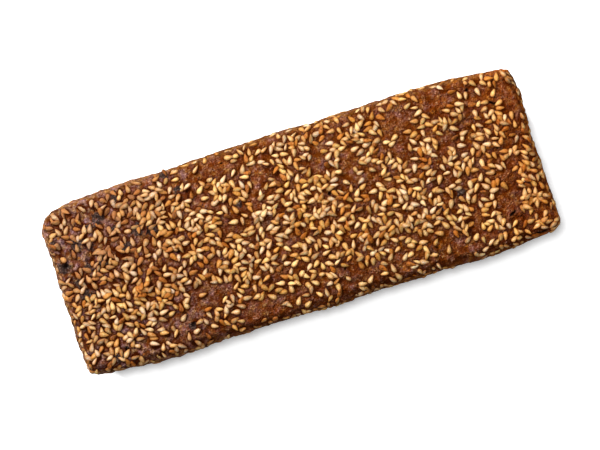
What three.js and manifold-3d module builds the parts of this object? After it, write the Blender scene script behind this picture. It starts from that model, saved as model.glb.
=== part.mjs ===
// A rye loaf baked in a long tin, its crust strewn with sesame: one closed solid, in millimetres, +Z up.
// The origin is the middle of the base. X runs along the loaf and Y across it.
import * as THREE from "three";
import { mergeVertices } from "three/addons/utils/BufferGeometryUtils.js";
import Module from "manifold-3d";

const { Vector3 } = THREE;

// ---- Loaf ----
const LENGTH = 219;
const WIDTH = 80;
const HEIGHT = 60;
const CORNER_RADIUS = 5; // in plan; every round edge reaches this far in from a wall
const SHOULDER_DROP = 8; // how far the round top edge reaches down a wall
const BASE_ROUND = 4; // how far the round bottom edge reaches up a wall
const TIN_TAPER = 3; // each wall leans in by this much from the shoulder to the base
const WALL_SAG = 0.8; // and draws in by this much half-way up, where the crumb shrinks as it cools
const END_NARROWING = 2.2; // the long walls come in by this much at the ends
const NARROWING_POWER = 6; // high, so that they run straight until near the ends
const CROWN = 2.4; // the top's edges lie this much under its middle
const CROWN_POWER = 4; // the crown runs level along the loaf and falls away near the ends

// The dough filled the tin's corners unevenly: each is drawn in by its pull.
const CORNERS = [
  { x: -1, y: 1, pull: 3.4 },
  { x: 1, y: 1, pull: 1.6 },
  { x: -1, y: -1, pull: 0.8 },
  { x: 1, y: -1, pull: 0.4 },
];
// High powers, so that a pull is felt only round its own corner.
const END_PULL = { along: 24, across: 6 };
const WALL_PULL = { along: 12, across: 8 };

const CRUST_COLOUR = 0x59290f;
const CRUST_ROUGHNESS = 0.7;

// Low swells left by the risen dough: height, span, and the heading and start of each wave in turns.
const SWELLS = [
  { height: 0.32, span: 78, heading: 0.06, start: 0.1 },
  { height: 0.26, span: 47, heading: 0.31, start: 0.55 },
  { height: 0.21, span: 33, heading: 0.93, start: 0.3 },
  { height: 0.17, span: 24, heading: 0.19, start: 0.8 },
];

// ---- Grid of the crust ----
const EDGE_ROWS = 2; // rows of facets from a wall's edge to the middle of its round edge
const LONG_CELLS = 22;
const CROSS_CELLS = 8;
const WALL_CELLS = 4;

// ---- Sesame ----
const SEED_LENGTH = 4.8; // of the largest
const SEED_WIDTH = 2.6;
const SEED_THICKNESS = 1.35;
const SEED_TAPER = 0.34; // a seed is this much wider at its blunt end, and narrower at its tip
const SEED_SIDES = 6;
const SEED_BANDS = 3;
const SEED_COUNT = 190; // the seeds that stand proudest
const SEED_SPACING = 7.6; // no two of them lie nearer than this, and none this near to a pit
const SEED_SIZE_SPREAD = 0.26; // the smallest seed is this much shorter than the largest
const SEED_ROLL = 0.5; // most that a seed leans to its side, in radians
const SEED_PITCH = 0.2; // most that its tip rises or dips, in radians
const SEED_LIFT = 0.16; // its middle stands this much above the crust
const WALL_REACH = 36; // seeds lie down to this far below the top edge

// A Park-Miller chain of draws, so that the seeds fall the same way every time.
const FIRST_STATE = 20261;
const CHAIN_FACTOR = 48271;
const CHAIN_MODULUS = 2147483647;

// How readily a seed sticks. Dabs of egg wash hold more of them, and dry or brushed spots fewer.
const EVEN_CHANCE = 0.6;
const WALL_CHANCE = 0.45; // at the top of a wall; it falls off towards WALL_REACH
const LEAST_CHANCE = 0.04;
const PATCH_EDGE = 2; // a patch is full over its middle and fades at this rate towards its reach
const BARE = [
  [-47, -19, 11, 6], [-27, 33, 8, 6], [27, 15, 5, 8], [54, 29, 8, 8], [72, 32, 10, 6],
  [103, 26, 5, 9], [91, -22, 6, 10], [15, -31, 8, 6], [62, -33, 10, 8], [-28, -33, 8, 6],
];
const THIN = [
  [0, -36, 112, 9], [-43, 32, 9, 7], [-84, 28, 10, 9], [-99, 13, 11, 6], [-69, 17, 6, 6],
  [-18, 14, 6, 5], [-10, 24, 9, 5], [36, 6, 6, 10], [46, 2, 5, 6], [76, 13, 10, 7],
  [103, 13, 5, 8], [79, -4, 8, 5], [92, -8, 6, 9], [-13, -14, 6, 7], [2, -21, 9, 6],
  [35, -29, 7, 7], [-61, -25, 12, 8], [54, 17, 5, 5], [54, -25, 10, 6], [-22, -24, 6, 5],
  [-79, -26, 6, 7], [-35, -28, 6, 5], [-16, -5, 5, 5], [-28, 9, 6, 5], [86, 30, 6, 5],
  [67, 2, 4, 6], [68, 19, 5, 4], [14, 22, 8, 4], [-37, 18, 5, 4], [73, -23, 5, 4],
];
const RICH = [
  [-85, -12, 13, 9], [-104, -15, 8, 20], [-72, -9, 17, 9], [-54, 17, 7, 14], [-85, 4, 8, 6],
  [-106, 30, 6, 11], [-26, -10, 10, 10], [16, 3, 13, 8], [14, 37, 12, 6], [45, 38, 8, 5],
  [50, -14, 13, 9], [60, 8, 4, 8], [95, 14, 7, 7], [102, -15, 6, 14], [-92, -21, 6, 5],
  [-64, 24, 7, 9], [0, 2, 5, 5], [51, -3, 7, 6], [-1, 31, 4, 5], [-61, 6, 6, 5], [25, -4, 6, 5],
  [34, 30, 6, 6], [-42, -10, 7, 6], [-74, 26, 5, 5], [-39, 9, 5, 5], [15, -20, 7, 4],
  [58, -12, 6, 6],
];
// What each kind adds to the chance. A patch is its middle, and its reach along and across.
const PATCHES = [
  { gain: -0.6, patches: BARE },
  { gain: -0.3, patches: THIN },
  { gain: 0.4, patches: RICH },
];

// Burst bubbles and short tears in the top crust. A pit's heading is in turns.
const PIT_DEPTH = 1;
const PIT_SIDES = 8;
const PIT_BANDS = 4;
const PITS = [
  { x: 87, y: 33, length: 1.7, width: 1.5, heading: 0 },
  { x: 16, y: 7.5, length: 2, width: 1.6, heading: 0.2 },
  { x: 90, y: -25.5, length: 4, width: 1.3, heading: 0.07 },
  { x: 96.5, y: 24, length: 5, width: 1.2, heading: 0.9 },
  { x: 99.5, y: -39, length: 6.5, width: 2, heading: 0.01 },
  { x: -58, y: -29, length: 2.4, width: 2, heading: 0.1 },
  { x: -64, y: 16, length: 3.2, width: 1.9, heading: 0.05 },
  { x: -55, y: 3.5, length: 3, width: 1.6, heading: 0.95 },
  { x: -89, y: -31, length: 2.8, width: 2, heading: 0.3 },
  { x: -104, y: 12.5, length: 3.6, width: 2, heading: 0.04 },
];

const HALF_LENGTH = LENGTH / 2;
const HALF_WIDTH = WIDTH / 2;
const SHOULDER_HEIGHT = HEIGHT - SHOULDER_DROP;
const TURN = 2 * Math.PI;

const wasm = await Module();
wasm.setup();

function clamp(value, limit) {
  return Math.max(-limit, Math.min(limit, value));
}

// ---- Crust ----

function swellHeight(point) {
  let height = 0;
  for (const wave of SWELLS) {
    const heading = wave.heading * TURN;
    const along = point.x * Math.cos(heading) + (point.y + point.z) * Math.sin(heading);
    height += wave.height * Math.sin((along / wave.span + wave.start) * TURN);
  }
  return height;
}

// Carries a point on the faces of a plain block on to the crust, and says which way is out there.
function ontoCrust(block) {
  const middle = new Vector3(
    clamp(block.x, HALF_LENGTH - CORNER_RADIUS),
    clamp(block.y, HALF_WIDTH - CORNER_RADIUS),
    Math.max(BASE_ROUND, Math.min(SHOULDER_HEIGHT, block.z)),
  );
  const round = block.z > HEIGHT / 2 ? SHOULDER_DROP : BASE_ROUND;
  const reach = new Vector3(CORNER_RADIUS, CORNER_RADIUS, round);
  const bend = block.clone().sub(middle).divide(reach).normalize();
  const point = bend.clone().multiply(reach).add(middle);
  const outward = bend.divide(reach).normalize();

  const along = point.x / HALF_LENGTH;
  const across = point.y / HALF_WIDTH;
  const below = Math.max(0, 1 - point.z / SHOULDER_HEIGHT);
  const lean = TIN_TAPER * below + WALL_SAG * Math.sin(Math.PI * below);
  point.x -= along * lean;
  point.y -= across * (lean + END_NARROWING * along ** NARROWING_POWER);
  const corner = CORNERS.find(({ x, y }) => x * along >= 0 && y * across >= 0);
  point.x -= corner.x * corner.pull * along ** END_PULL.along * across ** END_PULL.across;
  point.y -= corner.y * corner.pull * along ** WALL_PULL.along * across ** WALL_PULL.across;
  const dome = (1 - along ** CROWN_POWER) * (1 - across ** 2);
  point.z -= (point.z / HEIGHT) * CROWN * (1 - dome);
  point.addScaledVector(outward, swellHeight(point) * Math.min(1, point.z / BASE_ROUND));
  return { point, outward };
}

// Grid lines along one side of the block: close together over its round edges, and even between them.
function gridLines(low, high, lowRound, highRound, cells) {
  const lines = [];
  const shares = [];
  for (let row = 0; row < EDGE_ROWS; row += 1) {
    shares.push(1 - Math.tan((TURN / 8) * (1 - row / EDGE_ROWS)));
  }
  for (const share of shares) {
    lines.push(low + lowRound * share);
  }
  for (let cell = 0; cell <= cells; cell += 1) {
    lines.push(THREE.MathUtils.lerp(low + lowRound, high - highRound, cell / cells));
  }
  for (const share of shares.reverse()) {
    lines.push(high - highRound * share);
  }
  return lines;
}

function makeCrust() {
  const lines = [
    gridLines(-HALF_LENGTH, HALF_LENGTH, CORNER_RADIUS, CORNER_RADIUS, LONG_CELLS),
    gridLines(-HALF_WIDTH, HALF_WIDTH, CORNER_RADIUS, CORNER_RADIUS, CROSS_CELLS),
    gridLines(0, HEIGHT, BASE_ROUND, SHOULDER_DROP, WALL_CELLS),
  ];
  const counts = lines.map((side) => side.length - 1);
  const geometry = new THREE.BoxGeometry(...counts, ...counts);
  const position = geometry.attributes.position;
  for (let i = 0; i < position.count; i += 1) {
    const corner = new Vector3().fromBufferAttribute(position, i).toArray();
    const block = corner.map((place, side) => lines[side][Math.round(place + counts[side] / 2)]);
    position.setXYZ(i, ...ontoCrust(new Vector3(...block)).point);
  }
  return geometry;
}

// Stands a shape, made lying on the XY plane, on the crust at a spot of the block.
function standOnCrust(geometry, spot, lean, lift) {
  const { point, outward } = ontoCrust(spot);
  const upright = new THREE.Quaternion().setFromUnitVectors(new Vector3(0, 0, 1), outward);
  geometry.applyQuaternion(upright.multiply(new THREE.Quaternion().setFromEuler(lean)));
  geometry.translate(...point.addScaledVector(outward, lift));
  return geometry;
}

function pitSpot(pit) {
  return new Vector3(pit.x, pit.y, HEIGHT);
}

function makePits() {
  return PITS.map((pit) => {
    const bowl = new THREE.SphereGeometry(1, PIT_SIDES, PIT_BANDS);
    bowl.scale(pit.length / 2, pit.width / 2, PIT_DEPTH);
    return standOnCrust(bowl, pitSpot(pit), new THREE.Euler(0, 0, pit.heading * TURN), 0);
  });
}

// ---- Seeds ----

let state = FIRST_STATE;
function draw() {
  state = (state * CHAIN_FACTOR) % CHAIN_MODULUS;
  return state / CHAIN_MODULUS;
}

function drawBetween(low, high) {
  return low + (high - low) * draw();
}

function stickingChance(spot) {
  let chance = EVEN_CHANCE;
  for (const { gain, patches } of PATCHES) {
    for (const [x, y, reachX, reachY] of patches) {
      const offset = ((spot.x - x) / reachX) ** 2 + ((spot.y - y) / reachY) ** 2;
      chance += gain * Math.max(0, Math.min(1, PATCH_EDGE * (1 - offset)));
    }
  }
  const drop = HEIGHT - spot.z;
  if (drop > 0) {
    chance = Math.min(chance, WALL_CHANCE * (1 - drop / WALL_REACH) ** 2);
  }
  return Math.max(LEAST_CHANCE, chance);
}

// A spot on the block, drawn over its top and on down its walls as if they were folded out flat.
function drawSpot() {
  const x = drawBetween(-1, 1) * (HALF_LENGTH + WALL_REACH);
  const y = drawBetween(-1, 1) * (HALF_WIDTH + WALL_REACH);
  const drop = Math.max(0, Math.abs(x) - HALF_LENGTH, Math.abs(y) - HALF_WIDTH);
  return new Vector3(clamp(x, HALF_LENGTH), clamp(y, HALF_WIDTH), HEIGHT - drop);
}

// Teardrop about its own middle, with its tip at +X and its flat side down.
function makeSeed(scale) {
  const geometry = new THREE.SphereGeometry(1, SEED_SIDES, SEED_BANDS);
  const position = geometry.attributes.position;
  for (let i = 0; i < position.count; i += 1) {
    const tip = position.getY(i);
    const girth = scale * (1 - SEED_TAPER * tip);
    position.setXYZ(
      i,
      (tip * scale * SEED_LENGTH) / 2,
      (position.getX(i) * girth * SEED_WIDTH) / 2,
      (-position.getZ(i) * girth * SEED_THICKNESS) / 2,
    );
  }
  return geometry;
}

function placeSeed(spot) {
  const heading = drawBetween(0, TURN);
  const scale = 1 - SEED_SIZE_SPREAD * draw();
  const roll = drawBetween(-SEED_ROLL, SEED_ROLL);
  const pitch = drawBetween(-SEED_PITCH, SEED_PITCH);
  const lean = new THREE.Euler(roll, pitch, heading, "ZYX");
  return standOnCrust(makeSeed(scale), spot, lean, SEED_LIFT);
}

function makeSeeds() {
  const seeds = [];
  const places = PITS.map((pit) => ontoCrust(pitSpot(pit)).point);
  while (seeds.length < SEED_COUNT) {
    const spot = drawSpot();
    const sticks = draw() < stickingChance(spot);
    const { point } = ontoCrust(spot);
    const clear = places.every((place) => place.distanceTo(point) > SEED_SPACING);
    if (sticks && clear) {
      places.push(point);
      seeds.push(placeSeed(spot));
    }
  }
  return seeds;
}

// ---- Joining ----

function toSolid(geometry) {
  geometry.deleteAttribute("normal");
  geometry.deleteAttribute("uv");
  const merged = mergeVertices(geometry);
  const vertProperties = new Float32Array(merged.attributes.position.array);
  const triVerts = new Uint32Array(merged.index.array);
  return new wasm.Manifold(new wasm.Mesh({ numProp: 3, vertProperties, triVerts }));
}

function toGeometry(solid) {
  const mesh = solid.getMesh();
  const geometry = new THREE.BufferGeometry();
  geometry.setAttribute("position", new THREE.BufferAttribute(mesh.vertProperties, 3));
  geometry.setIndex(new THREE.BufferAttribute(mesh.triVerts, 1));
  geometry.computeVertexNormals();
  return geometry;
}

function makeLoaf() {
  let solid = toSolid(makeCrust());
  for (const pit of makePits()) {
    solid = solid.subtract(toSolid(pit));
  }
  for (const seed of makeSeeds()) {
    solid = solid.add(toSolid(seed));
  }
  const crust = { color: CRUST_COLOUR, roughness: CRUST_ROUGHNESS, metalness: 0 };
  const loaf = new THREE.Mesh(toGeometry(solid), new THREE.MeshStandardMaterial(crust));
  loaf.name = "rye_loaf";
  return loaf;
}

const bread = new THREE.Group();
bread.add(makeLoaf());

export default bread;
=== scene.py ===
# %% [markdown]
# # A rye loaf strewn with sesame
# This lesson dresses one tin-baked rye loaf: a dark, pitted crust as a single mesh, and more than a
# thousand sesame seeds as a second one. We begin with the fixed solid that the loaf was built from.
# Everything made below has to lie where that solid lies, so its box is kept from the start.

# %% Load the fixed solid
import math
from collections import namedtuple

import bmesh
import bpy
from mathutils import Euler, Matrix, Vector, noise
from mathutils.bvhtree import BVHTree
from mathutils.kdtree import KDTree


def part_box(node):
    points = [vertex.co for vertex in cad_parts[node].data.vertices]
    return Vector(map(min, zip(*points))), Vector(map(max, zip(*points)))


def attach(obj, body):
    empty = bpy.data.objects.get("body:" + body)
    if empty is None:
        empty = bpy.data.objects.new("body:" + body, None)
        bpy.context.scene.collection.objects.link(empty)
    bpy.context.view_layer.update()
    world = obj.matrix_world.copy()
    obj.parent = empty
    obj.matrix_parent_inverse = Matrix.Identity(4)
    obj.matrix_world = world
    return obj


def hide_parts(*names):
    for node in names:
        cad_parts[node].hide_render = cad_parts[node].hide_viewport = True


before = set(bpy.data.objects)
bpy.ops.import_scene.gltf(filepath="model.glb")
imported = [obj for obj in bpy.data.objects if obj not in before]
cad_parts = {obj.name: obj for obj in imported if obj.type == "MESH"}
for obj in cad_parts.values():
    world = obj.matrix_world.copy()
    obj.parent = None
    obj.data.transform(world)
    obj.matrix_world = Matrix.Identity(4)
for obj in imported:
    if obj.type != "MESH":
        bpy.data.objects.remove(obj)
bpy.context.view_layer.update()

MM = 0.001  # the lesson thinks in millimetres, and Blender in metres
TURN = 2 * math.pi

low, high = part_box("rye_loaf")
print("solid, mm:", [round(side / MM, 1) for side in high - low])

# %% [markdown]
# ## Camera
# The loaf is seen from straight above, with its right end swung up the frame. A camera looks down its own
# -Z, so it needs no tilt here, only a turn about Z. It could stand close with a short lens, but then the
# walls would splay out below the top. A long lens from further off keeps the outline true.

# %% Camera
FRAME_WIDTH = 600  # pixels
LOAF_PIXELS = 498.6  # the loaf's length in the frame
LOAF_SHOWN = 219.9 * MM  # and on the table
PICTURE_TURN = math.radians(17.66)  # the right end is this far up
LOAF_ABOVE_MIDDLE = 4.03  # pixels from the frame's middle up to the loaf's
LOAF_LEFT_OF_MIDDLE = 0.15
WIDEST_HEIGHT = 50 * MM  # of the loaf's outline
CAMERA_DISTANCE = 1.25
SENSOR_WIDTH = 36

pixel = LOAF_SHOWN / LOAF_PIXELS
turn = Matrix.Rotation(-PICTURE_TURN, 4, "Z")
aim = turn @ Vector((LOAF_LEFT_OF_MIDDLE * pixel, -LOAF_ABOVE_MIDDLE * pixel, 0))

camera_data = bpy.data.cameras.new("camera")
camera_data.sensor_width = SENSOR_WIDTH
camera_data.lens = SENSOR_WIDTH * CAMERA_DISTANCE / (FRAME_WIDTH * pixel)
camera = bpy.data.objects.new("camera", camera_data)
camera.matrix_world = Matrix.Translation(aim + Vector((0, 0, WIDEST_HEIGHT + CAMERA_DISTANCE))) @ turn
bpy.context.scene.collection.objects.link(camera)
bpy.context.scene.camera = camera
print("lens, mm:", round(camera_data.lens, 1))

# %% [markdown]
# ## Table
# The loaf lies on a sheet of white acrylic that glows faintly, as product tables do, so the ground burns
# out to white and only a narrow soft shadow stays beside the loaf. A plain white board would do too, but it
# would need so much light that the seeds burned out with it.

# %% Table
TABLE_SIDE = 6.0
TABLE_GLOW = 0.34
TABLE_GAP = 0.05 * MM  # two faces at one height would flicker through each other


def new_material(name):
    material = bpy.data.materials.new(name)
    material.use_nodes = True
    return material, material.node_tree.nodes, material.node_tree.links


def link_mesh(bm, name):
    mesh = bpy.data.meshes.new(name)
    bm.to_mesh(mesh)
    bm.free()
    piece = bpy.data.objects.new(name, mesh)
    bpy.context.scene.collection.objects.link(piece)
    return piece


table_mesh = bmesh.new()
bmesh.ops.create_grid(table_mesh, x_segments=2, y_segments=2, size=TABLE_SIDE / 2,
                      matrix=Matrix.Translation((0, 0, -TABLE_GAP)))
table = link_mesh(table_mesh, "table")
table_material, nodes, links = new_material("white_acrylic")
acrylic = nodes["Principled BSDF"]
acrylic.inputs["Base Color"].default_value = (0.93, 0.935, 0.94, 1)
acrylic.inputs["Roughness"].default_value = 0.6
acrylic.inputs["Specular IOR Level"].default_value = 0.1
acrylic.inputs["Emission Color"].default_value = (1, 1, 1, 1)
acrylic.inputs["Emission Strength"].default_value = TABLE_GLOW
table.data.materials.append(table_material)
table.visible_diffuse = False  # or its white would light the walls and the undersides of the seeds
table.visible_glossy = False  # and lie over them as a grey veil
print("table, m:", TABLE_SIDE, "square, glow", TABLE_GLOW)

# %% [markdown]
# ## Light
# Three lights are enough. A white world, brighter on the loaf's +Y side, lights every side a little, as the
# walls of a room do. A small disc almost overhead draws the narrow shadow. A softbox from the upper left of
# the picture stands low enough to give every seed a bright side and a dark side. One big softbox could do
# the work of all three, but then the shadow and the seeds' modelling couldn't be set apart.

# %% World
WORLD_DIM = 0.1  # on the side of the loaf's -Y wall
WORLD_BRIGHT = 0.33  # and on the side of its +Y wall

world = bpy.data.worlds.new("studio")
world.use_nodes = True
background = world.node_tree.nodes["Background"]
background.inputs["Color"].default_value = (1, 0.99, 0.97, 1)
way = world.node_tree.nodes.new("ShaderNodeTexCoord")
parts_of_way = world.node_tree.nodes.new("ShaderNodeSeparateXYZ")
brightness = world.node_tree.nodes.new("ShaderNodeMapRange")
brightness.inputs["From Min"].default_value = -1
brightness.inputs["To Min"].default_value = WORLD_DIM
brightness.inputs["To Max"].default_value = WORLD_BRIGHT
world.node_tree.links.new(way.outputs["Generated"], parts_of_way.inputs["Vector"])
world.node_tree.links.new(parts_of_way.outputs["Y"], brightness.inputs["Value"])
world.node_tree.links.new(brightness.outputs["Result"], background.inputs["Strength"])
bpy.context.scene.world = world
print("world light:", WORLD_DIM, "to", WORLD_BRIGHT)

# %% Lights
DISC_WATTS = 13.8
DISC_WIDTH = 0.13
DISC_HEIGHT = 1.5
DISC_TILT = math.radians(3)
SOFTBOX_WATTS = 24.7
SOFTBOX_SIDE = 0.32
SOFTBOX_DISTANCE = 1.3
SOFTBOX_RISE = math.radians(36)  # above the table
UPPER_LEFT = math.radians(135) - PICTURE_TURN  # heading of the picture's upper left corner


def add_light(name, shape, size, watts, heading, rise, distance, colour):
    data = bpy.data.lights.new(name, "AREA")
    data.shape = shape
    data.size = size
    data.energy = watts
    data.color = colour
    light = bpy.data.objects.new(name, data)
    level = math.cos(rise)
    toward = Vector((math.cos(heading) * level, math.sin(heading) * level, math.sin(rise)))
    light.location = toward * distance
    light.rotation_euler = toward.to_track_quat("Z", "Y").to_euler()
    bpy.context.scene.collection.objects.link(light)
    return light


DISC_RISE = TURN / 4 - DISC_TILT
disc = add_light("disc", "DISK", DISC_WIDTH, DISC_WATTS, UPPER_LEFT, DISC_RISE, DISC_HEIGHT, (1, 1, 1))
disc.visible_glossy = False  # its mirror image would lie over the whole crust as a grey veil
softbox = add_light("softbox", "SQUARE", SOFTBOX_SIDE, SOFTBOX_WATTS, UPPER_LEFT, SOFTBOX_RISE,
                    SOFTBOX_DISTANCE, (1, 0.985, 0.96))
print("lights, watts:", round(disc.data.energy, 1), round(softbox.data.energy, 1))

bpy.context.scene.view_settings.view_transform = "Standard"

# %% [markdown]
# ## The loaf's form
# A tin gives the loaf its shape: a block with round edges, walls that lean in towards the base, and a top
# that domes a little. We could model that by hand with a bevelled cube. Here a rule is better, because the
# seeds need to know where the crust is too. The rule takes a spot on a plain block and carries it on to the
# crust.

# %% Sizes of the loaf, in millimetres
LENGTH = 219
WIDTH = 80
HEIGHT = 60
CORNER_RADIUS = 5  # in plan; every round edge reaches this far in from a wall
SHOULDER_DROP = 8  # how far the round top edge reaches down a wall
BASE_ROUND = 4  # how far the round bottom edge reaches up a wall
TIN_TAPER = 3
WALL_SAG = 0.8
END_NARROWING = 2.2
NARROWING_POWER = 6
CROWN = 2.4
CROWN_POWER = 4
HALF_LENGTH = LENGTH / 2
HALF_WIDTH = WIDTH / 2
SHOULDER_HEIGHT = HEIGHT - SHOULDER_DROP

CORNERS = [  # sides of X and Y, and how far the corner is drawn in
    (-1, 1, 3.4),
    (1, 1, 1.6),
    (-1, -1, 0.8),
    (1, -1, 0.4),
]
END_PULL = (24, 6)  # high powers along and across, so that a pull is felt only round its own corner
WALL_PULL = (12, 8)

SWELLS = [  # height, span, and heading and start in turns
    (0.32, 78, 0.06, 0.1),
    (0.26, 47, 0.31, 0.55),
    (0.21, 33, 0.93, 0.3),
    (0.17, 24, 0.19, 0.8),
]
print("block, mm:", LENGTH, WIDTH, HEIGHT)


# %% From the block to the crust
def clamp(value, lowest=0, highest=1):
    return max(lowest, min(highest, value))


def progress(value, start, end):
    """How far a value has gone from start to end, 0 to 1."""
    return clamp((value - start) / (end - start))


def swell_height(point):
    total = 0
    for height, span, heading, start in SWELLS:
        along = point.x * math.cos(heading * TURN) + (point.y + point.z) * math.sin(heading * TURN)
        total += height * math.sin((along / span + start) * TURN)
    return total


def onto_crust(block):
    """The point of the crust that a spot of the block is carried to, and the way out of it there."""
    flat_x = HALF_LENGTH - CORNER_RADIUS
    flat_y = HALF_WIDTH - CORNER_RADIUS
    middle = Vector((clamp(block.x, -flat_x, flat_x), clamp(block.y, -flat_y, flat_y),
                     clamp(block.z, BASE_ROUND, SHOULDER_HEIGHT)))
    reach = Vector((CORNER_RADIUS, CORNER_RADIUS, SHOULDER_DROP if block.z > HEIGHT / 2 else BASE_ROUND))
    offset = block - middle
    bend = Vector(part / span for part, span in zip(offset, reach)).normalized()
    point = middle + bend * reach
    outward = Vector(part / span for part, span in zip(bend, reach)).normalized()

    along = point.x / HALF_LENGTH
    across = point.y / HALF_WIDTH
    below = max(0, 1 - point.z / SHOULDER_HEIGHT)
    lean = TIN_TAPER * below + WALL_SAG * math.sin(math.pi * below)
    point.x -= along * lean
    point.y -= across * (lean + END_NARROWING * along ** NARROWING_POWER)
    side_x, side_y, pull = next(each for each in CORNERS
                                if each[0] * along >= 0 and each[1] * across >= 0)
    point.x -= side_x * pull * along ** END_PULL[0] * across ** END_PULL[1]
    point.y -= side_y * pull * along ** WALL_PULL[0] * across ** WALL_PULL[1]
    dome = (1 - along ** CROWN_POWER) * (1 - across ** 2)
    point.z -= point.z / HEIGHT * CROWN * (1 - dome)
    return point + outward * swell_height(point) * min(1, point.z / BASE_ROUND), outward


middle_of_top, _ = onto_crust(Vector((0, 0, HEIGHT)))
print("middle of the top, mm:", [round(part, 1) for part in middle_of_top])

# %% [markdown]
# ## A fine block
# The crust starts as a cube with lines cut along each axis, close enough together that the relief of a
# baked skin can be real shape and not only a trick of shading. The walls do with cells of a millimetre and
# a half. The top is what everyone looks at, so each of its cells is cut again into nine.

# %% Cut the block
WALL_CELL = 1.6  # millimetres
TOP_CUTS = 2
ROUND_SHARE = math.pi / 4  # a round edge turns through this much on each of its two faces
TOP_LINE = 0.999  # the cube runs from -1 to 1, so only its top face lies above this


def side_span(length, low_round, high_round):
    """Length of one side of the block, measured over its two round edges."""
    return length + (low_round + high_round) * (ROUND_SHARE - 1)


def side_place(share, length, low_round, high_round):
    """Where a share of the way along that span lies on the side itself."""
    span = side_span(length, low_round, high_round)
    from_low = share * span
    from_high = span - from_low
    if from_low < low_round * ROUND_SHARE:
        return low_round * (1 - math.tan(ROUND_SHARE - from_low / low_round))
    if from_high < high_round * ROUND_SHARE:
        return length - high_round * (1 - math.tan(ROUND_SHARE - from_high / high_round))
    return from_low + low_round * (1 - ROUND_SHARE)


SIDES = [
    (LENGTH, CORNER_RADIUS, CORNER_RADIUS),
    (WIDTH, CORNER_RADIUS, CORNER_RADIUS),
    (HEIGHT, BASE_ROUND, SHOULDER_DROP),
]

crust_mesh = bmesh.new()
bmesh.ops.create_cube(crust_mesh, size=2)
for axis, side in enumerate(SIDES):
    crossing = [edge for edge in crust_mesh.edges
                if abs(edge.verts[0].co[axis] - edge.verts[1].co[axis]) > 1]
    cells = round(side_span(*side) / WALL_CELL)
    bmesh.ops.subdivide_edges(crust_mesh, edges=crossing, cuts=cells - 1, use_grid_fill=True)
top_edges = [edge for edge in crust_mesh.edges if min(vertex.co.z for vertex in edge.verts) > TOP_LINE]
bmesh.ops.subdivide_edges(crust_mesh, edges=top_edges, cuts=TOP_CUTS, use_grid_fill=True)
print("crust:", len(crust_mesh.verts), "vertices,", len(crust_mesh.faces), "faces")

# %% [markdown]
# ## Relief of the crust
# A rye crust isn't smooth. The dough rose in lumps, its skin dried into grit and fine wrinkles, and it tore
# in a few places. Sugary spots blistered and burnt purple-black, and bubbles left pores. Each of these is a
# small height in millimetres, and the skin's height is their sum. The deepest are ten pits and tears. A
# sculpting brush could press them in, but they have to lie where the solid has them, so each is an ellipse
# that lies on the crust and is hollowed out like a bowl.

# %% Pits and tears
PIT_DEPTH = 1
PIT_NEAR = 7.5  # no pit is felt further than this from its middle, so the base stays flat
PITS = [  # x, y, length, width, heading in turns
    (87, 33, 1.7, 1.5, 0),
    (16, 7.5, 2, 1.6, 0.2),
    (90, -25.5, 4, 1.3, 0.07),
    (96.5, 24, 5, 1.2, 0.9),
    (99.5, -39, 6.5, 2, 0.01),
    (-58, -29, 2.4, 2, 0.1),
    (-64, 16, 3.2, 1.9, 0.05),
    (-55, 3.5, 3, 1.6, 0.95),
    (-89, -31, 2.8, 2, 0.3),
    (-104, 12.5, 3.6, 2, 0.04),
]


def upright(outward):
    """Turns something made lying on the XY plane so that it lies on the crust."""
    return Vector((0, 0, 1)).rotation_difference(outward).to_matrix()


def place_pits():
    placed = []
    for x, y, length, width, heading in PITS:
        point, outward = onto_crust(Vector((x, y, HEIGHT)))
        lie = upright(outward) @ Matrix.Rotation(heading * TURN, 3, "Z")
        placed.append((point, lie.col[0] / (length / 2), lie.col[1] / (width / 2)))
    return placed


PLACED_PITS = place_pits()


def pit_share(point):
    for middle, along, across in PLACED_PITS:
        offset = point - middle
        inside = 1 - offset.dot(along) ** 2 - offset.dot(across) ** 2
        if inside > 0 and offset.length < PIT_NEAR:
            return math.sqrt(inside)
    return 0


print("pits and tears:", len(PLACED_PITS))

# %% [markdown]
# Lumps, knobs and grit are one and the same noise at three sizes, from Blender's own library. Folded over
# where it changes sign, it turns into sharp little ridges, which make the wrinkles. A displacement texture
# could do this too, but only here can we say where the skin is rough: on the top, more so at the burnt end,
# and less on the walls, which the tin kept smooth.

# %% Lumps, knobs, grit and wrinkles
Relief = namedtuple("Relief", "height size")  # both in millimetres
LUMP = Relief(0.42, 9)
LUMP_OCTAVES = (1.0, 2.0, 3)  # how fast they weaken, how much finer each is, and how many there are
KNOB = Relief(0.42, 2.3)
GRIT = Relief(0.42, 0.95)
WRINKLE = Relief(0.42, 1.7)
WRINKLE_CREST = 0.25
LEAST_WRINKLED = 0.25
WRINKLED = (-50, -25, 26, 9)  # middle and reach of the strip that wrinkled most
WRINKLED_EDGE = 0.6  # and how far the wrinkles go on past its outline
SLANT = Matrix(((0.35, 0.25, 0), (-0.5, 0.8, 0), (0, 0, 1)))  # draws the wrinkles out aslant
WALL_SKIN = 0.45  # how rough the walls are, next to the top
BURNT_END = (-60, -90)  # knobs stand out more and more from the first place to the second
BURNT_KNOBS = 0.9


def at_scale(point, size, offset=0):
    """Where to read noise of that size for the point. An offset gives a use a noise of its own."""
    return point / size + Vector((offset, offset, offset))


def in_patch(point, x, y, reach_x, reach_y):
    """1 in the middle of a patch with that middle and reach, 0 on its outline, and below 0 past it."""
    return 1 - ((point.x - x) / reach_x) ** 2 - ((point.y - y) / reach_y) ** 2


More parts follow.
